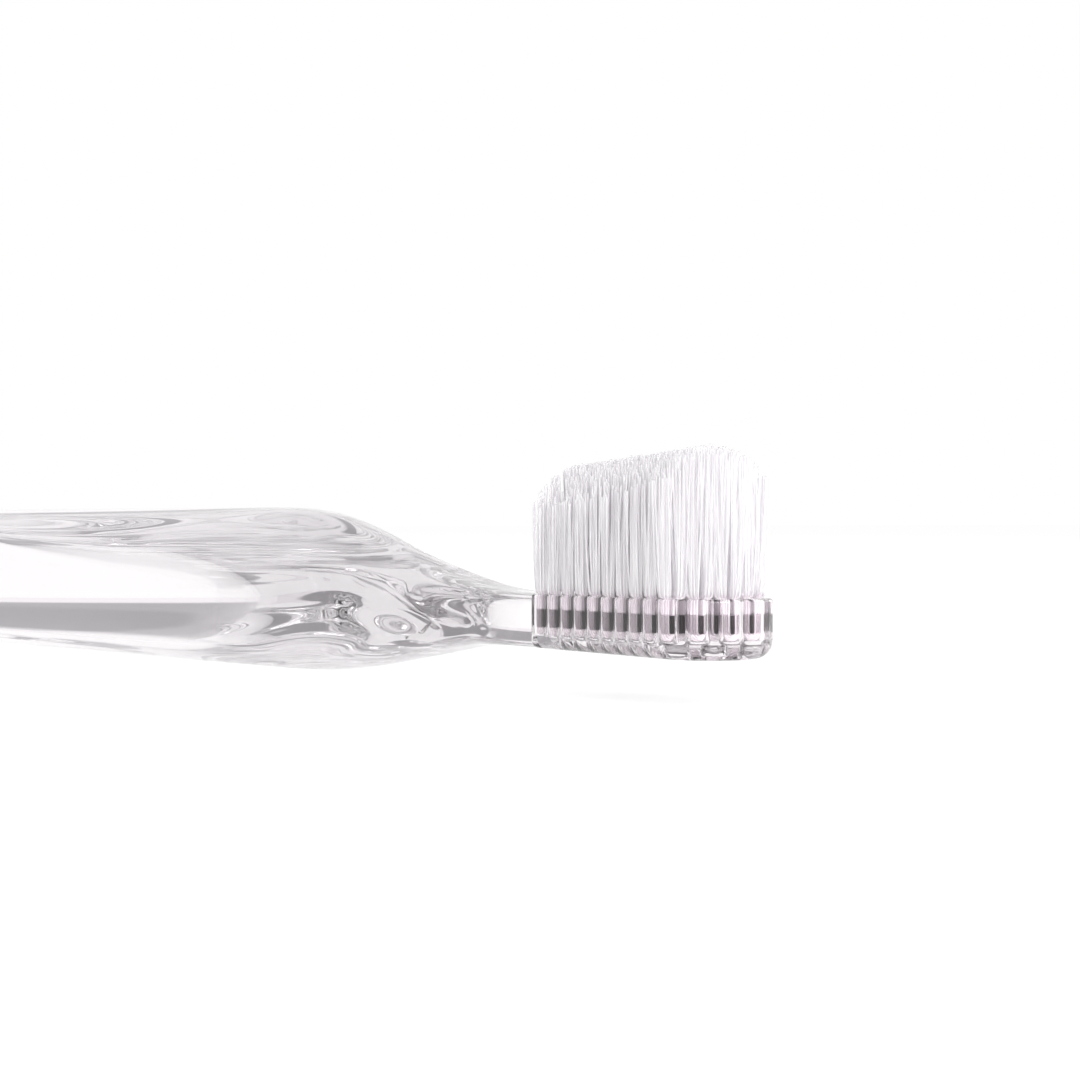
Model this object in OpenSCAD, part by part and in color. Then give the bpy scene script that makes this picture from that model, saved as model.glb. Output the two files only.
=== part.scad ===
// Manual toothbrush with a solid clear handle, lying on its back.
// +X runs to the tip of the head, +Z is the way the bristles point, and the
// origin is on the surface that the brush lies on, below its middle.

/* [Overall] */
// Length from the end of the handle to the tip of the head
overall_length = 180; // [165:1:200]

/* [Head] */
// Width of the head plate
head_width = 9.6; // [8.8:0.1:11.5]
// Length of the head plate, from its tip to its heel
head_length = 22; // [20:0.5:28]
// Height of the face that the bristles stand on, above the surface
head_face_z = 7.75; // [7.25:0.05:9]
// Thickness of the head plate at its tip
head_thickness = 4.6; // [4.4:0.1:5.2]
// Slope of the back of the head, which thins towards the heel, in degrees
back_slope = 0.6; // [0:0.1:1.5]
// How far the back of the head is crowned across its width
back_crown = 0.35; // [0.1:0.05:0.6]
// Radius along the edge of the back of the head
back_edge_r = 1.4; // [0.8:0.1:2]
// Radius of the two corners at the heel, seen from above
heel_corner_r = 0.9; // [0.3:0.1:2]

/* [Tuft holes] */
// Rows of tufts across the head
tuft_rows = 5; // [3:2:5]
// Diameter of a tuft hole
hole_d = 1.55; // [1.4:0.01:1.6]
// Depth of a tuft hole
hole_depth = 3.2; // [2.9:0.1:3.4]
// Wall between neighbouring holes of a row
hole_wall = 0.31; // [0.3:0.01:0.5]
// Wall between the outer rows and the sides of the head
side_wall = 0.475; // [0.4:0.025:0.7]
// Least wall between a hole and the rounded end of the head
tip_wall = 0.4; // [0.3:0.05:1]
// Wall between the first holes and the heel
heel_wall = 0.325; // [0.3:0.025:1]

/* [Anchors] */
// Length of an anchor strip, which bites into both sides of its hole
anchor_length = 2; // [1.8:0.05:2.1]
// Thickness of an anchor strip
anchor_thickness = 0.25; // [0.15:0.05:0.3]
// Height of an anchor strip
anchor_height = 1.3; // [1:0.05:1.4]
// Depth of an anchor's upper edge below the face of the head
anchor_depth = 1.2; // [1:0.05:1.4]
// Turn of the anchors from the length of the head, in degrees
anchor_turn = -22; // [-30:1:30]
// Clearance between an anchor and the walls of its slot
anchor_gap = 0.01; // [0.005:0.005:0.02]

/* [Bristles] */
// Strands round the edge of a tuft, which has one more in its middle
strands_round = 7; // [6:1:8]
// Diameter of a strand, across its corners
strand_d = 0.4; // [0.3:0.01:0.42]
// Radius of the ring of strands where it leaves the head
ring_r_root = 0.5; // [0.45:0.01:0.51]
// Radius of the ring of strands at its tips
ring_r_tip = 0.66; // [0.6:0.01:0.7]
// Clearance between the root of a tuft and the wall of its hole
root_gap = 0.02; // [0.01:0.005:0.03]
// How far the strands are let into the root
root_overlap = 0.3; // [0.2:0.05:0.5]
// Height of the middle of the brush above the face, at the heel
trim_heel = 10.2; // [8:0.1:12]
// Greatest height of the bristles above the face
trim_peak = 11.3; // [9:0.1:13]
// Height of the middle of the brush at the last holes before the tip
trim_tip = 10.2; // [8:0.1:12]
// Distance from the tip of the head to the highest bristles
peak_back = 4.6; // [3:0.1:8]
// How much lower the bristles are at the sides than in the middle, at the heel
side_drop_heel = 3.1; // [0:0.1:4]
// How much lower the bristles are at the sides than in the middle, at the tip
side_drop_tip = 2.2; // [0:0.1:4]

/* [Neck] */
// Width of the neck where it meets the head
neck_width = 5.3; // [4:0.1:7]
// Height of the upper side of the neck at the head, below the face of the head
neck_drop = 0.1; // [0.05:0.05:0.5]
// Height of the lower side of the neck above the back of the head at the heel
neck_rise = 0.03; // [0.02:0.01:0.5]
// How far the neck is let into the head plate
neck_overlap = 0.2; // [0.1:0.05:0.3]

/* [Handle] */
// Width of the grip
grip_width = 14.5; // [12:0.05:18]
// Height of the grip
grip_height = 14.5; // [12:0.1:17]
// Distance from the heel to where the upper side starts to rise
top_start = 0.8; // [0:0.1:8]
// Distance from the heel to where the upper side is full height
top_end = 51.2; // [40:0.1:65]
// Distance from the heel to where the lower side starts to fall
bottom_start = 12.1; // [8:0.1:20]
// Distance from the heel to where the lower side is level
bottom_end = 50; // [40:0.1:60]
// Distance from the heel to where the sides start to widen
side_start = 12; // [4:0.1:16]
// Distance from the heel to where the sides are full width
side_end = 76; // [60:0.5:95]
// Length over which the handle narrows towards its end
taper_length = 50; // [20:1:80]
// Size of the handle's section near its end, as a share of the grip
taper_share = 0.88; // [0.75:0.01:1]
// Length of the rounded end of the handle
end_round = 9; // [5:0.5:14]
// How far the underside is cut flat, where the brush rests
rest_cut = 0.15; // [0.05:0.05:0.4]

/* [Section] */
// Flatness of the neck's sides: 2 is an ellipse's, more is flatter
neck_side_power = 4.5; // [2:0.1:6]
// Flatness of the neck's upper and lower side
neck_top_power = 4.5; // [2:0.1:6]
// Flatness of the shoulder's sides
shoulder_side_power = 1.8; // [1.7:0.1:3]
// Flatness of the shoulder's upper and lower side
shoulder_top_power = 2.2; // [1.9:0.1:3]
// Flatness of the sides at the back of the grip
back_side_power = 2.9; // [2:0.1:4]
// Flatness of the upper and lower side at the back of the grip
back_top_power = 3.2; // [2:0.1:4]
// How much narrower the upper side is than the middle, as a share of the width
top_narrowing = 0.08; // [0:0.01:0.15]

/* [Hidden] */
// Bends of the blends: 1 is an even S, less turns sooner and more turns later
top_bend = 1.19;
bottom_bend = 0.5;
side_bend = 1 / 3;
// Length over which the sides start to widen
side_ease = 3;

// Distances from the heel between which the section goes from the neck's to the
// shoulder's, and from the shoulder's to the back's
shoulder_start = 10.4;
shoulder_end = 30.3;
back_start = 38;
back_end = 113;

// Places along the brush
tip_x = overall_length / 2;
end_x = -overall_length / 2;
heel_x = tip_x - head_length;
tip_centre_x = tip_x - head_width / 2;

// The neck meets the heel inside the head's own thickness
heel_back_z = head_face_z - head_thickness * cos(back_slope)
    + (head_length - head_width / 2) * sin(back_slope);
neck_top_z = head_face_z - neck_drop;
neck_bottom_z = heel_back_z + neck_rise;

// How far cutting shapes run past what they cut
cut_margin = 1;

// The holes, and the roots that fill them, are drawn with this many sides.
hole_sides = 12;
hole_r = hole_d / 2;
tuft_pitch = hole_d + hole_wall;
row_pitch = (head_width - 2 * (side_wall + hole_r)) / (tuft_rows - 1);
first_hole_x = heel_x + heel_wall + hole_r;
hole_reach = head_width / 2 - tip_wall - hole_r;

// The trim of the bristles
last_hole_x = tip_centre_x + hole_reach;
peak_x = tip_x - peak_back;
brush_half_width = head_width / 2 - side_wall;
// The fall to the sides is steepest at the outer rows, and lessens towards the tip.
side_drop_power = 2.5;
drop_change_power = 3;

// How far round the end of the handle is drawn: at 1 it would end in a point
end_fullness = 0.99;

// The rings of the handle's skin
rings_blend = 36;
rings_grip = 10;
rings_end = 9;
ring_points = 28;
blend_end = head_length + max(top_end, bottom_end, side_end);
skin_start = head_length - neck_overlap;

// Points on the round edge of the back of the head
edge_steps = 6;
crown_steps = 4;

function row_y(row) = (row - (tuft_rows - 1) / 2) * row_pitch;
// Every second row is set half a pitch further from the heel.
function row_shift(row) = row % 2 == 0 ? 0 : tuft_pitch / 2;
function row_end(row) = tip_centre_x + sqrt(max(hole_reach ^ 2 - row_y(row) ^ 2, 0));
function row_count(row) = floor((row_end(row) - first_hole_x - row_shift(row)) / tuft_pitch) + 1;
function hole_x(row, i) = first_hole_x + row_shift(row) + i * tuft_pitch;

function row_name(row) = str("anchors_row_", row + 1);
function tuft_name(row, i) = str("tuft_", row + 1, "_", i < 9 ? "0" : "", i + 1);

// The trim: a ridge that rises to a peak near the tip, and falls to the sides
function along(x) = min(max((x - first_hole_x) / (peak_x - first_hole_x), 0), 1);
function past(x) = min(max((x - peak_x) / (last_hole_x - peak_x), 0), 1);
function ridge(x) = trim_heel + (trim_peak - trim_heel) * along(x)
    - (trim_peak - trim_tip) * past(x) ^ 2;
function side_drop(x) = side_drop_heel
    + (side_drop_tip - side_drop_heel) * along(x) ^ drop_change_power;
function trim(x, y) = ridge(x) - side_drop(x) * abs(y / brush_half_width) ^ side_drop_power;

// The outline of the handle and neck, u mm back from the tip of the head
function smooth(t) = t ^ 3 * (t * (6 * t - 15) + 10);
function share(u, start, end) = min(max((u - start) / (end - start), 0), 1);
function blend(u, start, end, bend) = smooth(share(u - head_length, start, end)) ^ bend;
function tapered(u) = 1 - (1 - taper_share)
    * smooth(share(u, overall_length - taper_length, overall_length - end_round));
function rounded(u) = sqrt(1 - (end_fullness * share(u, overall_length - end_round, overall_length)) ^ 2);
function full_top(u) = neck_top_z + (grip_height - neck_top_z) * blend(u, top_start, top_end, top_bend);
function full_bottom(u) = neck_bottom_z * (1 - blend(u, bottom_start, bottom_end, bottom_bend))
    - rest_cut * blend(u, bottom_start, bottom_end, bottom_bend);
function half_height(u) = (full_top(u) - full_bottom(u)) / 2 * tapered(u);
function side_way(u) = u - head_length - side_start;
function swell(u) = smooth(min(
    (side_way(u) + norm([side_way(u), side_ease])) / 2 / (side_end - side_start), 1)) ^ side_bend;
function half_width(u) = (neck_width + (grip_width - neck_width) * swell(u)) / 2 * tapered(u);
function centre_z(u) = full_bottom(u) + half_height(u);

// Distances from the tip of the rings of skin, closer where the shape bends more
function ring_places() = [
    for (i = [0:rings_blend]) skin_start + (blend_end - skin_start) * i / rings_blend,
    for (i = [1:rings_grip])
        blend_end + (overall_length - end_round - blend_end) * i / rings_grip,
    for (i = [1:rings_end]) overall_length - end_round * (1 - sin(90 * i / rings_end))
];

// The section: its powers for the sides and for the top, and its points
function to_shoulder(u) = smooth(share(u - head_length, shoulder_start, shoulder_end));
function to_back(u) = share(u - head_length, back_start, back_end);
function power_at(u, neck, shoulder, back) = neck + (shoulder - neck) * to_shoulder(u)
    + (back - shoulder) * to_back(u);
function side_power(u) = power_at(u, neck_side_power, shoulder_side_power, back_side_power);
function top_power(u) = power_at(u, neck_top_power, shoulder_top_power, back_top_power);
function power_sign(v, p) = sign(v) * abs(v) ^ p;
function rise(u, turn) = power_sign(sin(turn), 2 / side_power(u));
function reach(u, turn) = power_sign(cos(turn), 2 / top_power(u))
    * (1 - top_narrowing * to_shoulder(u) * rise(u, turn));
function skin_point(u, turn) = [
    tip_x - u,
    half_width(u) * rounded(u) * reach(u, turn),
    centre_z(u) + half_height(u) * rounded(u) * rise(u, turn)
];

// A closed skin through the rings, each a list of points that goes the same way round
module skin(rings) {
    n = len(rings[0]);
    last = len(rings) - 1;
    sides = [
        for (i = [0:last - 1])
            for (j = [0:n - 1])
                each [
                    [i * n + j, i * n + (j + 1) % n, (i + 1) * n + (j + 1) % n],
                    [i * n + j, (i + 1) * n + (j + 1) % n, (i + 1) * n + j]
                ]
    ];
    start_face = [for (j = [n - 1:-1:0]) j];
    end_face = [for (j = [0:n - 1]) last * n + j];
    polyhedron([for (ring = rings) each ring], concat([start_face], sides, [end_face]));
}

// The handle and neck, cut flat underneath
module handle() {
    difference() {
        skin([
            for (u = ring_places())
                [for (j = [0:ring_points - 1]) skin_point(u, 360 * j / ring_points)]
        ]);
        translate([end_x - cut_margin, -grip_width, -grip_height])
            cube([overall_length, 2 * grip_width, grip_height]);
    }
}

// Height of the back above its lowest line, r mm from the middle of the head
function back_height(r) = back_crown * (r / (head_width / 2)) ^ 2;

// Half of the head's section, with its crowned back and its rounded edge
module half_section() {
    flat_r = head_width / 2 - back_edge_r;
    crown = [
        for (i = [0:crown_steps - 1])
            [flat_r * i / crown_steps, back_height(flat_r * i / crown_steps)]
    ];
    edge = [
        for (i = [0:edge_steps])
            [
                flat_r + back_edge_r * sin(90 * i / edge_steps),
                back_height(flat_r) + back_edge_r * (1 - cos(90 * i / edge_steps))
            ]
    ];
    sides = [
        [head_width / 2, head_thickness + cut_margin],
        [0, head_thickness + cut_margin]
    ];
    polygon(concat(crown, edge, sides));
}

// What a heel corner loses
module heel_corner_cut() {
    difference() {
        translate([-cut_margin, -cut_margin])
            square(heel_corner_r + cut_margin);
        translate([heel_corner_r, heel_corner_r])
            circle(heel_corner_r, $fn = 48);
    }
}

// The head plate, cut level on the face that carries the bristles
module head_plate() {
    straight = head_length - head_width / 2;
    difference() {
        translate([tip_centre_x, 0, head_face_z])
            rotate([0, back_slope, 0])
                translate([0, 0, -head_thickness]) {
                    rotate([0, 0, -90])
                        rotate_extrude(angle = 180, $fn = 48)
                            half_section();
                    rotate([90, 0, -90])
                        linear_extrude(straight) {
                            half_section();
                            mirror([1, 0])
                                half_section();
                        }
                }
        translate([heel_x - cut_margin, -head_width, head_face_z])
            cube([head_length + 2 * cut_margin, 2 * head_width, head_thickness]);
        for (side = [0, 1])
            mirror([0, side, 0])
                translate([heel_x, -head_width / 2, 0])
                    linear_extrude(head_face_z + cut_margin)
                        heel_corner_cut();
    }
}

// The space of one anchor, grown by a gap on all sides but its lower edge
module anchor_space(gap) {
    rotate([0, 0, anchor_turn])
        translate([
            -anchor_length / 2 - gap,
            -anchor_thickness / 2 - gap,
            head_face_z - anchor_depth - anchor_height
        ])
            cube([
                anchor_length + 2 * gap,
                anchor_thickness + 2 * gap,
                anchor_height + gap
            ]);
}

module at_tuft(row, i) {
    translate([hole_x(row, i), row_y(row), 0])
        children();
}

module body() {
    color([0.93, 0.91, 0.93, 0.45])
        difference() {
            union() {
                handle();
                head_plate();
            }
            for (row = [0:tuft_rows - 1])
                for (i = [0:row_count(row) - 1])
                    at_tuft(row, i) {
                        translate([0, 0, head_face_z - hole_depth])
                            cylinder(h = hole_depth + cut_margin, d = hole_d, $fn = hole_sides);
                        anchor_space(anchor_gap);
                    }
        }
}

module anchors(row) {
    color([0.36, 0.33, 0.34])
        for (i = [0:row_count(row) - 1])
            at_tuft(row, i)
                anchor_space(0);
}

// A strand from its foot to its tip, both measured from the axis of its tuft
module strand(foot, tip) {
    way = tip - foot;
    lean = atan2(norm([way.x, way.y]), way.z);
    translate(foot)
        rotate([0, lean, atan2(way.y, way.x)])
            cylinder(h = norm(way), d = strand_d, $fn = 3);
}

// One tuft: the folded root that fills the hole, and the strands that stand on it
module tuft(row, i) {
    x = hole_x(row, i);
    y = row_y(row);
    foot_z = head_face_z - root_overlap;
    color([0.96, 0.95, 0.97])
        at_tuft(row, i) {
            difference() {
                translate([0, 0, head_face_z - hole_depth])
                    cylinder(h = hole_depth, r = hole_r - root_gap, $fn = hole_sides);
                anchor_space(anchor_gap);
            }
            strand([0, 0, foot_z], [0, 0, head_face_z + trim(x, y)]);
            for (k = [0:strands_round - 1]) {
                way = [cos(360 * k / strands_round), sin(360 * k / strands_round)];
                out = ring_r_tip * way;
                strand(
                    [ring_r_root * way.x, ring_r_root * way.y, foot_z],
                    [out.x, out.y, head_face_z + trim(x + out.x, y + out.y)]
                );
            }
        }
}

body();
for (row = [0:tuft_rows - 1]) {
    anchors(row);
    for (i = [0:row_count(row) - 1]) {
        tuft(row, i);
    }
}
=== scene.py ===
import math
import random

import bmesh
import bpy
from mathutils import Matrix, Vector


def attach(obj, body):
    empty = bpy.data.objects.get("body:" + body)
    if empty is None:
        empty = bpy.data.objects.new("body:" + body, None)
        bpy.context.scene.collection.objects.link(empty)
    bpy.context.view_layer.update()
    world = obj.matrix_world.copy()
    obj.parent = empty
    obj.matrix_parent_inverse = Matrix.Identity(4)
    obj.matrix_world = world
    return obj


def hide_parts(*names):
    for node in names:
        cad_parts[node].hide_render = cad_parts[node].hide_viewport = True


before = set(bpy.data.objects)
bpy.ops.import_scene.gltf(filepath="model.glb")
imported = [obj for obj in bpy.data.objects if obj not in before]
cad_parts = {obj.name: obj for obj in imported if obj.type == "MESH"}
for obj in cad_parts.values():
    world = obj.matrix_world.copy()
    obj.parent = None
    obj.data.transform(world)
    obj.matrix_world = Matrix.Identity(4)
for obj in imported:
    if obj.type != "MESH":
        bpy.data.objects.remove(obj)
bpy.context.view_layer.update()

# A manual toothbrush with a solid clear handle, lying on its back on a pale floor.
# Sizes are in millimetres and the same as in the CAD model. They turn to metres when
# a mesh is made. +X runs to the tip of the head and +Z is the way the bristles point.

MM = 0.001
BODY = "root"

# The head plate
TIP_X = 90.0
HEAD_LENGTH = 22.0
HEAD_WIDTH = 9.6
FACE_Z = 7.75
HEAD_THICKNESS = 4.6
BACK_SLOPE = math.radians(0.6)
BACK_CROWN = 0.35
BACK_EDGE_R = 1.4
HEEL_EDGE_R = 0.6
HEEL_EDGE_EASE = 3.0
FACE_EDGE_R = 0.25
HEEL_CORNER_R = 0.9
HEEL_X = TIP_X - HEAD_LENGTH
TIP_CENTRE_X = TIP_X - HEAD_WIDTH / 2
# Steps of its mesh: round the tip, along a side, round a corner, along half the heel,
# over an edge, and from the back's edge in to its spine
TIP_STEPS = 48
SIDE_STEPS = 24
CORNER_STEPS = 12
HEEL_STEPS = 12
EDGE_STEPS = 8
CROWN_STEPS = 6
CROWN_REACH = 0.98
SPINE_START_X = HEEL_X + 3

# The tuft holes and the anchors in them
ROWS = 5
HOLE_R = 0.775
HOLE_DEPTH = 3.2
HOLE_FLOOR_R = 0.2
HOLE_FLOOR_STEPS = 4
HOLE_SIDES = 40
HOLE_CUT_ABOVE = 1.0
ROW_PITCH = 1.775
TUFT_PITCH = 1.86
FIRST_HOLE_X = 69.1
HOLE_REACH = 3.625
ANCHOR_SIZE = (2.0, 0.25, 1.3)
ANCHOR_TOP_Z = FACE_Z - 1.2
ANCHOR_TURN = math.radians(-22)
ANCHOR_EDGE = 0.015
SLOT_PRESS = 0.005

# The trim of the brush, as heights above the face
TRIM_HEEL = 10.2
TRIM_PEAK = 11.3
TRIM_TIP = 10.2
PEAK_X = TIP_X - 4.6
LAST_HOLE_X = TIP_CENTRE_X + HOLE_REACH
SIDE_DROP_HEEL = 3.1
SIDE_DROP_TIP = 2.2
SIDE_DROP_POWER = 2.5
BRUSH_HALF_WIDTH = 4.325

# The filaments: every one is folded in half under the anchor of its tuft
FILAMENT_R = 0.085
FILAMENT_SIDES = 6
# How far from the anchor's middle plane each layer lies, and its count of filaments
FOLD_ROWS = ((0.225, 8), (0.4, 7), (0.575, 5), (0.68, 1))
FOLD_PITCH = 0.172
FOLDED_R = 0.66
# The bend begins at its top, passes under the anchor with a gap, and lies lower for
# each layer further out.
FOLD_TOP_Z = FACE_Z - 2.3
FOLD_GAP = 0.13
FOLD_LAYER = 0.16
FOLD_STEPS = 6
FOLD_ROUNDNESS = 0.8
# How fast a tuft spreads above the face, and how softly the brush's outside holds it
TUFT_SPREAD = 0.12
BRUSH_EDGE = 0.12
# Typical leans, in mm for each mm of height, and a filament's typical sway
TUFT_LEAN = 0.012
LEG_LEAN = 0.028
LEG_SWAY = 0.08
# Lengths: how uneven the tufts are, how far a tuft's outside ends below its middle,
# and how uneven its filaments are
TUFT_LEVEL = (-0.2, -0.02)
TUFT_DOME = 0.22
UNEVEN_TIP = 0.12
# First places on a filament as heights above the face, and steps from there to its tip
LEG_HEIGHTS = (-2.2, -0.8, 0.0, 0.15, 0.4, 0.9)
LEG_STEPS = 6
# Distance below the end of a filament, and its radius there
ROUNDED_TIP = ((0.085, 0.085), (0.03, 0.072), (0.0, 0.03))

# The neck and the handle, measured back from the heel
NECK_TOP_Z = FACE_Z - 0.1
NECK_BOTTOM_Z = (FACE_Z - HEAD_THICKNESS * math.cos(BACK_SLOPE)
                 + (HEAD_LENGTH - HEAD_WIDTH / 2) * math.sin(BACK_SLOPE) + 0.03)
NECK_WIDTH = 5.3
NECK_OVERLAP = 0.2
GRIP_WIDTH = 14.45
GRIP_HEIGHT = 14.5
# Powers of the section's outline, for its sides and for its top: 2 and 2 is an ellipse
NECK_POWERS = (4.5, 4.5)
SHOULDER_POWERS = (1.8, 2.2)
BACK_POWERS = (2.9, 3.2)
NECK_TO_SHOULDER = (10.4, 30.3)
SHOULDER_TO_BACK = (38.0, 113.0)
TOP_NARROWING = 0.08
# Start, end and bend of the curves along the handle
TOP_RISE = (0.8, 51.2, 1.19)
BOTTOM_FALL = (12.1, 50.0, 0.5)
SIDE_SWELL = (12.0, 76.0, 1 / 3)
SWELL_EASE = 3.0
OVERALL_LENGTH = 180.0
TAPER_LENGTH = 50.0
TAPER_SHARE = 0.88
END_ROUND = 9.0
REST_CUT = 0.15
REST_EASE = 0.06
# The rings of its mesh, closer as far as the shoulder reaches
RING_POINTS = 256
SHOULDER_REACH = 56
SHOULDER_RING_PITCH = 0.28
BACK_RING_PITCH = 1.25
END_STEPS = 28

# Edges sharper than these angles stay sharp.
BODY_SHARP = math.radians(32)
ANCHOR_SHARP = math.radians(40)

# The photograph's view, in metres, and its turn and tilt
CAMERA_PLACE = (0.27087, -0.13040, 0.01379)
CAMERA_TURN = math.radians(58)
CAMERA_TILT = math.radians(0.461)
CAMERA_LENS = 103.49
CAMERA_CLIP = (0.005, 20.0)

# The floor board, just under the brush so that their faces don't meet
FLOOR_HALF_SIDE = 3000.0
FLOOR_DROP = 0.05

# Name, place and aim in metres, side in metres, watts, and whether it shows through
# the clear plastic
LAMPS = (
    ("key_at_the_tip", (1.2, -0.25, 0.28), (0.08, 0, 0.01), 0.7, 9.8, True),
    ("fill_above", (-0.1, -0.2, 1.3), (0.0, 0, 0.01), 1.0, 1.5, False),
    ("fill_before", (0.4, -1.2, 0.15), (0.08, 0, 0.01), 1.0, 0.8, False),
    ("fill_behind", (-0.1, 1.3, 0.3), (0.05, 0, 0.01), 1.0, 6, False),
)

# The room as bent light shows it, from level with the floor upwards, in degrees: a
# white backdrop, a greyer band, the lit upper wall and a greyer ceiling
ROOM_TONES = (
    (1.6, "#FBF9FB"), (2.3, "#9E9CA0"), (18.0, "#9E9CA0"), (21.0, "#FFFEFF"),
    (44.0, "#FFFEFF"), (52.0, "#9E9CA0"),
)
# Where the white screen beyond the tip begins and is full, as the X of a direction
SCREEN_EDGE = (0.1, 0.5)
# The way to the dim patch, and the closeness to it where it begins and is full
DIM_WAY = (0.85, -0.53, 0)
DIM_EDGE = (0.6, 0.85)
EVEN_LIGHT = 0.58

rng = random.Random(7)


# Small helpers

def colour(hex_code):
    """An sRGB hex colour as linear red, green, blue and alpha."""
    channels = [int(hex_code[i:i + 2], 16) / 255 for i in (1, 3, 5)]
    linear = [c / 12.92 if c <= 0.04045 else ((c + 0.055) / 1.055) ** 2.4 for c in channels]
    return (*linear, 1.0)


def add_node(tree, kind, inputs=None, **settings):
    """Adds a node, sets its settings, and fills its inputs with values or links."""
    node = tree.nodes.new(kind)
    for name, value in settings.items():
        setattr(node, name, value)
    for name, value in (inputs or {}).items():
        if isinstance(value, bpy.types.NodeSocket):
            tree.links.new(value, node.inputs[name])
        else:
            node.inputs[name].default_value = value
    return node


def set_stops(ramp, stops):
    """Gives a colour ramp its stops: the place and the linear colour of each."""
    while len(ramp.elements) < len(stops):
        ramp.elements.new(1.0)
    for element, (place, linear) in zip(ramp.elements, stops):
        element.position = place
        element.color = linear


def new_material(name):
    """A material without nodes, and its node tree."""
    material = bpy.data.materials.new(name)
    material.use_nodes = True
    material.node_tree.nodes.clear()
    return material, material.node_tree


def new_mesh_object(name, points, faces, material=None):
    """An object from points in millimetres, in the scene and smooth."""
    mesh = bpy.data.meshes.new(name)
    mesh.from_pydata([[c * MM for c in p] for p in points], [], faces)
    mesh.validate()
    obj = bpy.data.objects.new(name, mesh)
    bpy.context.scene.collection.objects.link(obj)
    if material:
        mesh.materials.append(material)
    mesh.shade_smooth()
    return obj


def bake_modifiers(obj):
    """Turns the object's modifiers into its mesh."""
    graph = bpy.context.evaluated_depsgraph_get()
    mesh = bpy.data.meshes.new_from_object(obj.evaluated_get(graph))
    old = obj.data
    obj.modifiers.clear()
    obj.data = mesh
    bpy.data.meshes.remove(old)


def add_boolean(obj, operation, other):
    """Joins the other object to this one or cuts it out, and removes it."""
    modifier = obj.modifiers.new(operation.lower(), "BOOLEAN")
    modifier.operation = operation
    modifier.solver = "EXACT"
    modifier.object = other
    bake_modifiers(obj)
    bpy.data.objects.remove(other)


def clamp(value, low=0.0, high=1.0):
    return min(max(value, low), high)


def mix(a, b, amount):
    return a + (b - a) * amount


# The shapes' formulas, as in the CAD model

def smooth(t):
    """An S from 0 to 1, level at both ends."""
    return t ** 3 * (t * (6 * t - 15) + 10)


def share(value, start, end):
    """From 0 at start to 1 at end."""
    return clamp((value - start) / (end - start))


def blend(back, start, end, bend):
    """An S from 0 at start to 1 at end, back mm behind the heel."""
    return smooth(share(back, start, end)) ** bend


def swell(back):
    """The sides' S from 0 at the neck to 1 at the grip, with an eased start."""
    start, end, bend = SIDE_SWELL
    way = back - start
    return smooth(clamp((way + math.hypot(way, SWELL_EASE)) / 2 / (end - start))) ** bend


def tapered(u):
    """How far the handle has narrowed, u mm back from the tip."""
    start = OVERALL_LENGTH - TAPER_LENGTH
    end = OVERALL_LENGTH - END_ROUND
    return 1 - (1 - TAPER_SHARE) * smooth(clamp((u - start) / (end - start)))


def rounded(u):
    """The round end: 1 up to its start, and 0 at the very end."""
    return math.sqrt(max(1 - clamp((u - OVERALL_LENGTH + END_ROUND) / END_ROUND) ** 2, 0))


def handle_section(u):
    """Half width, half height, middle height, powers of the section and narrowing of its
    top, u mm back from the tip."""
    back = u - HEAD_LENGTH
    top = mix(NECK_TOP_Z, GRIP_HEIGHT, blend(back, *TOP_RISE))
    bottom = mix(NECK_BOTTOM_Z, -REST_CUT, blend(back, *BOTTOM_FALL))
    half_height = (top - bottom) / 2 * tapered(u)
    half_width = mix(NECK_WIDTH, GRIP_WIDTH, swell(back)) / 2 * tapered(u)
    shoulder = smooth(share(back, *NECK_TO_SHOULDER))
    flatter = share(back, *SHOULDER_TO_BACK)
    powers = [mix(neck, grip, shoulder) + (far - grip) * flatter
              for neck, grip, far in zip(NECK_POWERS, SHOULDER_POWERS, BACK_POWERS)]
    return half_width, half_height, bottom + half_height, powers, TOP_NARROWING * shoulder


def trim(x, y):
    """Height of the bristles above the face."""
    along = clamp((x - FIRST_HOLE_X) / (PEAK_X - FIRST_HOLE_X))
    past = clamp((x - PEAK_X) / (LAST_HOLE_X - PEAK_X))
    ridge = mix(TRIM_HEEL, TRIM_PEAK, along) - (TRIM_PEAK - TRIM_TIP) * past ** 2
    drop = mix(SIDE_DROP_HEEL, SIDE_DROP_TIP, along ** 3)
    return ridge - drop * abs(y / BRUSH_HALF_WIDTH) ** SIDE_DROP_POWER


def tuft_places():
    """(node name, row, x, y) of every tuft, as the CAD model counts them."""
    places = []
    for row in range(ROWS):
        y = (row - (ROWS - 1) / 2) * ROW_PITCH
        x = FIRST_HOLE_X + (row % 2) * TUFT_PITCH / 2
        last = TIP_CENTRE_X + math.sqrt(HOLE_REACH ** 2 - y ** 2)
        count = 0
        while x <= last:
            count += 1
            places.append((f"tuft_{row + 1}_{count:02d}", row, x, y))
            x += TUFT_PITCH
    return places


# Materials

def stretched_noise(tree, place, size, detail, roughness):
    """Noise whose marks are as long, wide and high as the size, in millimetres."""
    stretch = add_node(tree, "ShaderNodeMapping", {
        "Vector": place.outputs["Object"], "Scale": [1 / (side * MM) for side in size]})
    return add_node(tree, "ShaderNodeTexNoise", {
        "Vector": stretch.outputs["Vector"], "Scale": 1.0, "Detail": detail,
        "Roughness": roughness})


def with_pale_shadow(tree, surface, shadow):
    """The surface, which lets light through and throws a shadow of the given colour."""
    pale = add_node(tree, "ShaderNodeBsdfTransparent", {"Color": shadow})
    path = add_node(tree, "ShaderNodeLightPath")
    return add_node(tree, "ShaderNodeMixShader", {
        0: path.outputs["Is Shadow Ray"], 1: surface.outputs[0], 2: pale.outputs[0]})


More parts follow.
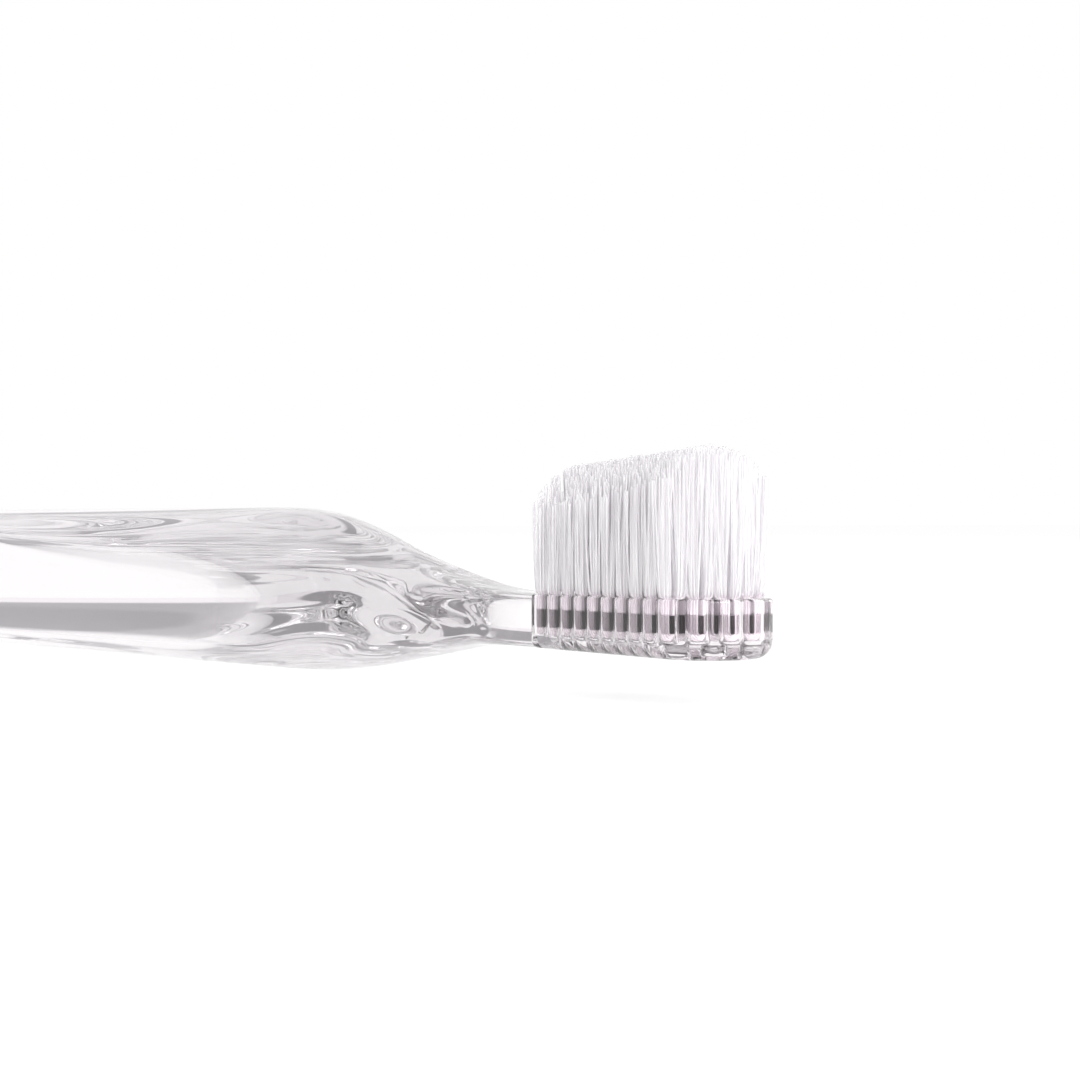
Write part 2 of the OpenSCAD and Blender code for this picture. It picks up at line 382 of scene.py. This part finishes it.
def clear_copolyester():
    """Clear copolyester, moulded in one shot in a polished tool. The surface is glossy
    and very slightly wavy along the way the melt ran, and thick parts look faintly
    lilac. Light goes through it, so its shadows stay pale."""
    material, tree = new_material("clear_copolyester_moulded")
    place = add_node(tree, "ShaderNodeTexCoord")
    # Flow lines some 25 mm long and 3 mm apart, a thousandth of a millimetre high
    flow = stretched_noise(tree, place, (25, 3, 3), detail=1.0, roughness=0.4)
    waves = add_node(tree, "ShaderNodeBump", {
        "Height": flow.outputs["Fac"], "Strength": 1.0, "Distance": 0.001 * MM})
    plastic = add_node(tree, "ShaderNodeBsdfPrincipled", {
        "Base Color": colour("#FDFAFC"), "Roughness": 0.0, "IOR": 1.5,
        "Transmission Weight": 1.0, "Normal": waves.outputs["Normal"]})
    either = with_pale_shadow(tree, plastic, colour("#FCFBFC"))
    # 100 mm of this plastic dims light by a fifth, and green a little more.
    dimming = add_node(tree, "ShaderNodeVolumeAbsorption", {
        "Color": colour("#BCBABC"), "Density": 4.0})
    add_node(tree, "ShaderNodeOutputMaterial", {
        "Surface": either.outputs[0], "Volume": dimming.outputs[0]})
    return material


def drawn_nylon(name, beside_strip, clearness):
    """Nylon 6.12 monofilament, extruded and drawn, cut and end-rounded. It is milky clear with
    a soft sheen and no two filaments pass quite the same light. Beside the anchor strip in the
    head its colour is darkened: painted shade of the strip and the hole around it. That tone
    and how clear the nylon is there are given."""
    material, tree = new_material(name)
    place = add_node(tree, "ShaderNodeTexCoord")
    # Streaks 0.2 mm wide, about as a filament, and 6 mm long
    streaks = stretched_noise(tree, place, (0.2, 0.2, 6), detail=2.0, roughness=0.6)
    tone = add_node(tree, "ShaderNodeValToRGB", {"Fac": streaks.outputs["Fac"]})
    set_stops(tone.color_ramp, ((0.3, colour("#E9E6EA")), (0.7, colour("#FFFFFF"))))

    # From the bottom of a hole, at 0, to just above the face, at 1
    above_face = 0.4
    reach = HOLE_DEPTH + above_face
    parts = add_node(tree, "ShaderNodeSeparateXYZ", {0: place.outputs["Object"]})
    height = add_node(tree, "ShaderNodeMapRange", {
        "Value": parts.outputs["Z"], "From Min": (FACE_Z - HOLE_DEPTH) * MM,
        "From Max": (FACE_Z + above_face) * MM})
    height_tone_and_strip_shade = add_node(tree, "ShaderNodeValToRGB", {"Fac": height.outputs["Result"]})
    strip_low = (ANCHOR_TOP_Z - ANCHOR_SIZE[2] - FACE_Z + HOLE_DEPTH) / reach
    strip_high = (ANCHOR_TOP_Z - FACE_Z + HOLE_DEPTH) / reach
    edge = 0.03
    # Place, colour and clearness: under the strip, beside it (painted shade), above it, and in
    # the air
    stops = (
        (strip_low - edge, "#FFFAFC", 0.1),
        (strip_low, beside_strip, clearness),
        (strip_high, beside_strip, clearness),
        (strip_high + edge, "#FFFBFD", 0.25),
        (0.9, "#FFFBFD", 0.25),
        (1.0, "#FFFFFF", 0.4),
    )
    set_stops(height_tone_and_strip_shade.color_ramp, [(at, (*colour(hue)[:3], clear)) for at, hue, clear in stops])

    # Painted light: the nylon's colour is made paler towards the tip of the head, where more
    # light comes in.
    paler_from, palest_from = TIP_X - 12, TIP_X - 5
    near_tip = add_node(tree, "ShaderNodeMapRange", {
        "Value": parts.outputs["X"], "From Min": paler_from * MM,
        "From Max": palest_from * MM})
    lit = add_node(tree, "ShaderNodeMix", {
        0: near_tip.outputs["Result"], 6: height_tone_and_strip_shade.outputs["Color"], 7: colour("#F6F0F3")},
        data_type="RGBA", blend_type="LIGHTEN")
    shade = add_node(tree, "ShaderNodeMix", {
        0: 1.0, 6: tone.outputs["Color"], 7: lit.outputs[2]},
        data_type="RGBA", blend_type="MULTIPLY")
    nylon = add_node(tree, "ShaderNodeBsdfPrincipled", {
        "Base Color": shade.outputs[2], "Roughness": 0.25, "IOR": 1.53,
        "Transmission Weight": height_tone_and_strip_shade.outputs["Alpha"]})
    either = with_pale_shadow(tree, nylon, colour("#F3F3F3"))
    add_node(tree, "ShaderNodeOutputMaterial", {"Surface": either.outputs[0]})
    return material


def nickel_silver():
    """Nickel silver strip, rolled and cut to length for each tuft. It is a dull, warm grey
    metal with fine lines from rolling. Its colour is darkened nearly to black: painted shade of
    the head it sits in."""
    material, tree = new_material("nickel_silver_rolled_painted_shade")
    place = add_node(tree, "ShaderNodeTexCoord")
    # Rolling lines 2 mm long and 0.05 mm apart
    lines = stretched_noise(tree, place, (2, 0.05, 0.05), detail=2.0, roughness=0.5)
    tone = add_node(tree, "ShaderNodeValToRGB", {"Fac": lines.outputs["Fac"]})
    # Painted shade: these tones are near black, not the metal's own warm grey.
    set_stops(tone.color_ramp, ((0.35, colour("#1C1719")), (0.7, colour("#3E363A"))))
    metal = add_node(tree, "ShaderNodeBsdfPrincipled", {
        "Base Color": tone.outputs["Color"], "Metallic": 1.0, "Roughness": 0.35})
    add_node(tree, "ShaderNodeOutputMaterial", {"Surface": metal.outputs[0]})
    return material


def pale_floor():
    """Matt white painted board. Seen straight or through the clear plastic it is white
    where nothing shades it, and it keeps a faint shadow of the brush."""
    material, tree = new_material("pale_floor_board")
    path = add_node(tree, "ShaderNodeLightPath")
    straight_or_mirrored = add_node(tree, "ShaderNodeMath", {
        0: path.outputs["Is Camera Ray"], 1: path.outputs["Is Glossy Ray"]},
        operation="MAXIMUM")
    seen = add_node(tree, "ShaderNodeMath", {
        0: straight_or_mirrored.outputs[0], 1: path.outputs["Is Transmission Ray"]},
        operation="MAXIMUM")
    board = add_node(tree, "ShaderNodeBsdfDiffuse", {"Color": colour("#E8E8E8")})
    shaded = add_node(tree, "ShaderNodeBsdfDiffuse", {"Color": colour("#A8A8A8")})
    glow = add_node(tree, "ShaderNodeEmission", {"Color": colour("#FFFFFF"), "Strength": 0.76})
    white = add_node(tree, "ShaderNodeAddShader", {0: shaded.outputs[0], 1: glow.outputs[0]})
    either = add_node(tree, "ShaderNodeMixShader", {
        0: seen.outputs[0], 1: board.outputs[0], 2: white.outputs[0]})
    add_node(tree, "ShaderNodeOutputMaterial", {"Surface": either.outputs[0]})
    return material


# The studio

def build_world():
    """Even light all round, which is white where it is seen straight or mirrored. Light
    that the plastic bends shows a room instead: its tones by height, a white screen
    beyond the tip of the brush, and a dim patch behind the camera."""
    world = bpy.data.worlds.new("pale_studio")
    world.use_nodes = True
    tree = world.node_tree
    tree.nodes.clear()
    direction = add_node(tree, "ShaderNodeTexCoord")
    parts = add_node(tree, "ShaderNodeSeparateXYZ", {0: direction.outputs["Generated"]})
    # A direction's Z is the sine of its height.
    room = add_node(tree, "ShaderNodeValToRGB", {"Fac": parts.outputs["Z"]})
    set_stops(room.color_ramp,
              [(math.sin(math.radians(height)), colour(tone)) for height, tone in ROOM_TONES])
    screen = add_node(tree, "ShaderNodeMapRange", {
        "Value": parts.outputs["X"], "From Min": SCREEN_EDGE[0], "From Max": SCREEN_EDGE[1]})
    screened = add_node(tree, "ShaderNodeMix", {
        0: screen.outputs["Result"], 6: room.outputs["Color"], 7: colour("#FFFFFF")},
        data_type="RGBA")
    towards = add_node(tree, "ShaderNodeVectorMath", {
        0: direction.outputs["Generated"], 1: DIM_WAY}, operation="DOT_PRODUCT")
    dim = add_node(tree, "ShaderNodeMapRange", {
        "Value": towards.outputs["Value"], "From Min": DIM_EDGE[0], "From Max": DIM_EDGE[1]})
    dimmed = add_node(tree, "ShaderNodeMix", {
        0: dim.outputs["Result"], 6: screened.outputs[2], 7: colour("#848286")},
        data_type="RGBA")
    path = add_node(tree, "ShaderNodeLightPath")
    even = add_node(tree, "ShaderNodeBackground", {
        "Color": colour("#FFFFFF"), "Strength": EVEN_LIGHT})
    around = add_node(tree, "ShaderNodeBackground", {"Color": dimmed.outputs[2]})
    white = add_node(tree, "ShaderNodeBackground", {
        "Color": colour("#FFFFFF"), "Strength": 1.0})
    mirrored = add_node(tree, "ShaderNodeMixShader", {
        0: path.outputs["Is Glossy Ray"], 1: even.outputs[0], 2: white.outputs[0]})
    bent = add_node(tree, "ShaderNodeMixShader", {
        0: path.outputs["Is Transmission Ray"], 1: mirrored.outputs[0], 2: around.outputs[0]})
    either = add_node(tree, "ShaderNodeMixShader", {
        0: path.outputs["Is Camera Ray"], 1: bent.outputs[0], 2: white.outputs[0]})
    add_node(tree, "ShaderNodeOutputWorld", {"Surface": either.outputs[0]})
    bpy.context.scene.world = world


def add_lamp(name, place, aim, side, watts, shows_through):
    """A soft square lamp."""
    light = bpy.data.lights.new(name, "AREA")
    light.shape = "SQUARE"
    light.size = side
    light.energy = watts
    lamp = bpy.data.objects.new(name, light)
    bpy.context.scene.collection.objects.link(lamp)
    lamp.location = place
    lamp.rotation_euler = (Vector(aim) - Vector(place)).to_track_quat("-Z", "Y").to_euler()
    lamp.visible_transmission = shows_through


def build_studio():
    """The floor, the light all round and the lamps."""
    side = FLOOR_HALF_SIDE
    corners = ((-side, -side), (side, -side), (side, side), (-side, side))
    floor = new_mesh_object(
        "floor", [(x, y, -FLOOR_DROP) for x, y in corners], [(0, 1, 2, 3)], pale_floor())
    build_world()
    for lamp in LAMPS:
        add_lamp(*lamp)


def build_camera():
    """The photograph's view: low, from beyond the tip and the near side of the brush."""
    camera = bpy.data.cameras.new("camera")
    camera.sensor_width = 36.0
    camera.lens = CAMERA_LENS
    camera.clip_start, camera.clip_end = CAMERA_CLIP
    obj = bpy.data.objects.new("camera", camera)
    bpy.context.scene.collection.objects.link(obj)
    obj.location = CAMERA_PLACE
    way = Vector((
        -math.sin(CAMERA_TURN) * math.cos(CAMERA_TILT),
        math.cos(CAMERA_TURN) * math.cos(CAMERA_TILT),
        -math.sin(CAMERA_TILT)))
    obj.rotation_euler = way.to_track_quat("-Z", "Y").to_euler()
    bpy.context.scene.camera = obj


# The clear body

def loft(rings, count, start=0):
    """The faces between neighbouring rings, which have count points each. The first
    ring begins at the point numbered start."""
    faces = []
    for i in range(rings - 1):
        for j in range(count):
            a, b = start + i * count + j, start + i * count + (j + 1) % count
            faces.append((a, a + count, b + count, b))
    return faces


def lids(rings, count, start=0):
    """The faces that close the first ring and the last."""
    last = start + (rings - 1) * count
    return [tuple(range(start, start + count)), tuple(reversed(range(last, last + count)))]


def handle_places():
    """Distances from the tip of the handle's rings, closer where it bends more."""
    places = []
    u = HEAD_LENGTH - NECK_OVERLAP
    while u < HEAD_LENGTH + SHOULDER_REACH:
        places.append(u)
        u += SHOULDER_RING_PITCH
    while u < OVERALL_LENGTH - END_ROUND:
        places.append(u)
        u += BACK_RING_PITCH
    places += [OVERALL_LENGTH - END_ROUND * (1 - math.sin(math.pi / 2 * i / END_STEPS))
               for i in range(END_STEPS)]
    return places


def power(value, exponent):
    """A power that keeps the sign of the value."""
    return math.copysign(abs(value) ** exponent, value)


def ring_point(u, turn):
    """The point at a turn round the handle's section, u mm back from the tip."""
    half_width, half_height, middle, (side_power, top_power), narrowing = handle_section(u)
    rise = power(math.sin(turn), 2 / side_power)
    y = half_width * rounded(u) * power(math.cos(turn), 2 / top_power) * (1 - narrowing * rise)
    z = middle + half_height * rounded(u) * rise
    # The underside eases into the flat that the brush rests on.
    return TIP_X - u, y, (z + math.sqrt(z * z + REST_EASE * REST_EASE)) / 2


def make_handle():
    """The neck and the handle, from just inside the head plate to the round end."""
    places = handle_places()
    n = RING_POINTS
    points = [ring_point(u, 2 * math.pi * j / n) for u in places for j in range(n)]
    faces = loft(len(places), n)
    end = len(points)
    points.append((TIP_X - OVERALL_LENGTH, 0, handle_section(OVERALL_LENGTH)[2]))
    last = (len(places) - 1) * n
    faces += [(last + j, end, last + (j + 1) % n) for j in range(n)]
    faces.append(tuple(range(n)))
    return new_mesh_object("handle", points, faces)


def back_z(x, y):
    """Height of the back of the head, without its round edge."""
    spine = min(x, TIP_CENTRE_X)
    r = math.hypot(x - spine, y)
    rise = (TIP_CENTRE_X - x) * math.sin(BACK_SLOPE)
    return FACE_Z - HEAD_THICKNESS + rise + BACK_CROWN * (r / (HEAD_WIDTH / 2)) ** 2


def head_outline():
    """(point, way in, radius of the back's edge) round the head, seen from above."""
    half = HEAD_WIDTH / 2
    tip = []
    for i in range(TIP_STEPS + 1):
        turn = math.pi * (i / TIP_STEPS - 0.5)
        way = Vector((math.cos(turn), math.sin(turn)))
        tip.append((Vector((TIP_CENTRE_X, 0)) + half * way, -way, BACK_EDGE_R))
    corner = Vector((HEEL_X + HEEL_CORNER_R, half - HEEL_CORNER_R))
    side = []
    for i in range(1, SIDE_STEPS):
        x = mix(TIP_CENTRE_X, corner.x, i / SIDE_STEPS)
        near_heel = smooth(clamp((corner.x + HEEL_EDGE_EASE - x) / HEEL_EDGE_EASE))
        edge = mix(BACK_EDGE_R, HEEL_EDGE_R, near_heel)
        side.append((Vector((x, half)), Vector((0, -1)), edge))
    for i in range(CORNER_STEPS + 1):
        turn = math.pi / 2 * (1 + i / CORNER_STEPS)
        way = Vector((math.cos(turn), math.sin(turn)))
        side.append((corner + HEEL_CORNER_R * way, -way, HEEL_EDGE_R))
    for i in range(1, HEEL_STEPS + 1):
        y = mix(corner.y, 0, i / HEEL_STEPS)
        side.append((Vector((HEEL_X, y)), Vector((1, 0)), HEEL_EDGE_R))
    mirrored = [(Vector((p.x, -p.y)), Vector((way.x, -way.y)), edge)
                for p, way, edge in reversed(side[:-1])]
    return tip + side + mirrored


def make_plate():
    """The head plate: a flat face with a small edge, upright sides and a rounded back."""
    outline = head_outline()
    n = len(outline)
    rings = []
    for i in range(EDGE_STEPS + 1):
        turn = math.pi / 2 * i / EDGE_STEPS
        ring = []
        for p, way, _ in outline:
            q = p + way * FACE_EDGE_R * (1 - math.sin(turn))
            ring.append((q.x, q.y, FACE_Z - FACE_EDGE_R * (1 - math.cos(turn))))
        rings.append(ring)
    for i in range(EDGE_STEPS + 1):
        turn = math.pi / 2 * i / EDGE_STEPS
        ring = []
        for p, way, edge in outline:
            q = p + way * edge * (1 - math.cos(turn))
            flat = p + way * edge
            ring.append((q.x, q.y, back_z(flat.x, flat.y) + edge * (1 - math.sin(turn))))
        rings.append(ring)
    for i in range(1, CROWN_STEPS + 1):
        ring = []
        for p, way, edge in outline:
            flat = p + way * edge
            spine = Vector((clamp(flat.x, SPINE_START_X, TIP_CENTRE_X), 0))
            q = flat.lerp(spine, CROWN_REACH * i / CROWN_STEPS)
            ring.append((q.x, q.y, back_z(q.x, q.y)))
        rings.append(ring)
    points = [p for ring in rings for p in ring]
    return new_mesh_object("plate", points, loft(len(rings), n) + lids(len(rings), n))


def make_hole_cutters(places):
    """The blind tuft holes, with their bottoms' edges rounded."""
    floor_z = FACE_Z - HOLE_DEPTH
    profile = [(HOLE_R, FACE_Z + HOLE_CUT_ABOVE), (HOLE_R, floor_z + HOLE_FLOOR_R)]
    for k in range(1, HOLE_FLOOR_STEPS + 1):
        turn = math.pi / 2 * k / HOLE_FLOOR_STEPS
        profile.append((HOLE_R - HOLE_FLOOR_R * (1 - math.cos(turn)),
                        floor_z + HOLE_FLOOR_R * (1 - math.sin(turn))))
    points, faces = [], []
    n = HOLE_SIDES
    for _, _, x, y in places:
        start = len(points)
        for r, z in profile:
            for j in range(n):
                turn = 2 * math.pi * j / n
                points.append((x + r * math.cos(turn), y + r * math.sin(turn), z))
        faces += loft(len(profile), n, start) + lids(len(profile), n, start)
    return new_mesh_object("hole_cutters", points, faces)


BOX_FACES = ((3, 2, 1, 0), (4, 5, 6, 7), (0, 1, 5, 4), (1, 2, 6, 5), (2, 3, 7, 6), (3, 0, 4, 7))


def strip_corners(x, y, gap):
    """The eight corners of an anchor's space, grown by a gap except at the bottom."""
    length, thickness, height = ANCHOR_SIZE
    c, s = math.cos(ANCHOR_TURN), math.sin(ANCHOR_TURN)
    corners = []
    for z in (ANCHOR_TOP_Z - height, ANCHOR_TOP_Z + gap):
        for a, b in ((-1, -1), (1, -1), (1, 1), (-1, 1)):
            along = a * (length / 2 + gap)
            across = b * (thickness / 2 + gap)
            corners.append((x + along * c - across * s, y + along * s + across * c, z))
    return corners


def make_strips(name, places, gap, material=None):
    """An object with a box in each anchor's place, grown by a gap."""
    points, faces = [], []
    for _, _, x, y in places:
        start = len(points)
        points += strip_corners(x, y, gap)
        faces += [tuple(start + k for k in face) for face in BOX_FACES]
    return new_mesh_object(name, points, faces, material)


def build_body(places):
    """Handle, neck and head plate in one moulding, with the holes and the slots that
    the anchors bite cut in it."""
    body = make_handle()
    body.name = "clear_body"
    add_boolean(body, "UNION", make_plate())
    add_boolean(body, "DIFFERENCE", make_hole_cutters(places))
    add_boolean(body, "DIFFERENCE", make_strips("slot_cutters", places, -SLOT_PRESS))
    mesh = body.data
    mesh.materials.clear()
    mesh.materials.append(clear_copolyester())
    mesh.shade_smooth()
    mesh.set_sharp_from_angle(angle=BODY_SHARP)
    keep_flat = body.modifiers.new("keep_flat_faces_flat", "WEIGHTED_NORMAL")
    keep_flat.keep_sharp = True
    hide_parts("body")
    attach(body, BODY)


# The anchors

def build_anchors(places):
    """A cut strip for each tuft, its edges softened."""
    metal = nickel_silver()
    for row in range(ROWS):
        in_row = [place for place in places if place[1] == row]
        strips = make_strips(f"anchor_strips_{row + 1}", in_row, 0, metal)
        shape = bmesh.new()
        shape.from_mesh(strips.data)
        bmesh.ops.bevel(shape, geom=shape.edges[:], offset=ANCHOR_EDGE * MM, segments=2,
                        profile=0.5, affect="EDGES")
        shape.to_mesh(strips.data)
        shape.free()
        strips.data.shade_smooth()
        strips.data.set_sharp_from_angle(angle=ANCHOR_SHARP)
        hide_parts(f"anchors_row_{row + 1}")
        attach(strips, BODY)


# The bristles

def sweep(path, radii, sides):
    """Points and faces of a closed tube along a path."""
    points, faces = [], []
    way = (path[1] - path[0]).normalized()
    side = way.orthogonal().normalized()
    for i, place in enumerate(path):
        ahead = path[min(i + 1, len(path) - 1)] - path[max(i - 1, 0)]
        ahead.normalize()
        side = way.rotation_difference(ahead) @ side
        way = ahead
        other = way.cross(side)
        for j in range(sides):
            turn = 2 * math.pi * j / sides
            points.append(place + radii[i] * (math.cos(turn) * side + math.sin(turn) * other))
    for i in range(len(path) - 1):
        for j in range(sides):
            a, b = i * sides + j, i * sides + (j + 1) % sides
            faces.append((a, b, b + sides, a + sides))
    faces.append(tuple(reversed(range(sides))))
    faces.append(tuple((len(path) - 1) * sides + j for j in range(sides)))
    return points, faces


def soft_limit(value, limit):
    """The value, held back softly as it comes near the limit."""
    room = 2 * BRUSH_EDGE
    start = limit - room
    if value <= start:
        return value
    return start + room * math.tanh((value - start) / room)


def held_in(x, y):
    """Filaments at the brush's outside stand upright against the ones within."""
    half = BRUSH_HALF_WIDTH + BRUSH_EDGE
    heel = FIRST_HOLE_X - HOLE_R - BRUSH_EDGE
    if x <= TIP_CENTRE_X:
        held_x = TIP_CENTRE_X - soft_limit(TIP_CENTRE_X - x, TIP_CENTRE_X - heel)
        return held_x, math.copysign(soft_limit(abs(y), half), y)
    reach = math.hypot(x - TIP_CENTRE_X, y)
    pull = soft_limit(reach, half) / reach
    return TIP_CENTRE_X + (x - TIP_CENTRE_X) * pull, y * pull


def leg(root, tuft, tuft_lean, tuft_level):
    """Places and radii of half a filament, from its fold up to its rounded tip."""
    lean = Vector((rng.gauss(0, LEG_LEAN), rng.gauss(0, LEG_LEAN))) + tuft_lean
    sway = Vector((rng.gauss(0, LEG_SWAY), rng.gauss(0, LEG_SWAY)))
    out = root.length / HOLE_R
    # Above the face a round tuft spreads to fill its own rectangle of the brush.
    square = root * (root.length / max(abs(root.x), abs(root.y)) / FOLDED_R)
    room = Vector((square.x * TUFT_PITCH / 2, square.y * ROW_PITCH / 2))

    def at(height):
        free = max(height, 0)
        up = free / TRIM_PEAK
        place = root.lerp(room, up ** TUFT_SPREAD) + lean * free + sway * math.sin(math.pi * up)
        return Vector((*held_in(tuft.x + place.x, tuft.y + place.y), FACE_Z + height))

    top = at(TRIM_HEEL)
    tip = trim(top.x, top.y) + tuft_level - TUFT_DOME * out ** 2 + rng.uniform(-UNEVEN_TIP, 0)
    heights = [*LEG_HEIGHTS, *(tip * k / LEG_STEPS for k in range(1, LEG_STEPS))]
    radii = [FILAMENT_R] * len(heights) + [radius for _, radius in ROUNDED_TIP]
    heights += [tip - below for below, _ in ROUNDED_TIP]
    return [at(height) for height in heights], radii


def fold(root_a, root_b, tuft, bottom):
    """The bend of a filament under its anchor, from one leg to the other."""
    middle = (root_a + root_b) / 2
    arm = (root_a - root_b) / 2
    points = []
    for k in range(1, FOLD_STEPS):
        turn = math.pi * k / FOLD_STEPS
        place = middle + arm * power(math.cos(turn), FOLD_ROUNDNESS)
        z = FOLD_TOP_Z - (FOLD_TOP_Z - bottom) * math.sin(turn)
        points.append(Vector((tuft.x + place.x, tuft.y + place.y, z)))
    return points


def make_tuft(name, x, y, nylons):
    """A tuft of folded filaments. The layer beside the strip has a nylon of its own, with
    darker painted shade.
    """
    tuft = Vector((x, y))
    lean = Vector((rng.gauss(0, TUFT_LEAN), rng.gauss(0, TUFT_LEAN)))
    level = rng.uniform(*TUFT_LEVEL)
    c, s = math.cos(ANCHOR_TURN), math.sin(ANCHOR_TURN)
    points, faces = [], []
    for layer, (across, count) in enumerate(FOLD_ROWS):
        bottom = ANCHOR_TOP_Z - ANCHOR_SIZE[2] - FOLD_GAP - FOLD_LAYER * layer
        for i in range(count):
            along = (i - (count - 1) / 2) * FOLD_PITCH
            roots = [Vector((along * c - side * across * s, along * s + side * across * c))
                     for side in (1, -1)]
            legs = [leg(root, tuft, lean, level) for root in roots]
            bend = fold(roots[0], roots[1], tuft, bottom)
            path = legs[0][0][::-1] + bend + legs[1][0]
            radii = legs[0][1][::-1] + [FILAMENT_R] * len(bend) + legs[1][1]
            tube_points, tube_faces = sweep(path, radii, FILAMENT_SIDES)
            start = len(points)
            points += tube_points
            faces += [tuple(start + v for v in face) for face in tube_faces]
        if layer == 0:
            beside_strip = len(faces)
    obj = new_mesh_object(name.replace("tuft", "nylon_tuft"), points, faces, nylons[0])
    obj.data.materials.append(nylons[1])
    # These faces take the nylon with the darker painted shade beside the strip.
    for polygon in obj.data.polygons[:beside_strip]:
        polygon.material_index = 1
    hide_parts(name)
    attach(obj, BODY)


# All of it

build_camera()
build_studio()
tufts = tuft_places()
build_body(tufts)
build_anchors(tufts)
# Each nylon's tone beside the strip is painted shade; the second, darker one is for the layer
# next to the strip.
nylons = (drawn_nylon("drawn_nylon_filament", "#D9CFD5", 0.9),
          drawn_nylon("drawn_nylon_painted_shade_by_strip", "#7C6E75", 0.5))
for name, _, x, y in tufts:
    make_tuft(name, x, y, nylons)

# Clear plastic needs more bends of light than the defaults give.
cycles = bpy.context.scene.cycles
cycles.max_bounces = 64
cycles.diffuse_bounces = 16
cycles.transmission_bounces = 64
cycles.glossy_bounces = 32
cycles.transparent_max_bounces = 32
bpy.context.scene.view_settings.view_transform = "Standard"
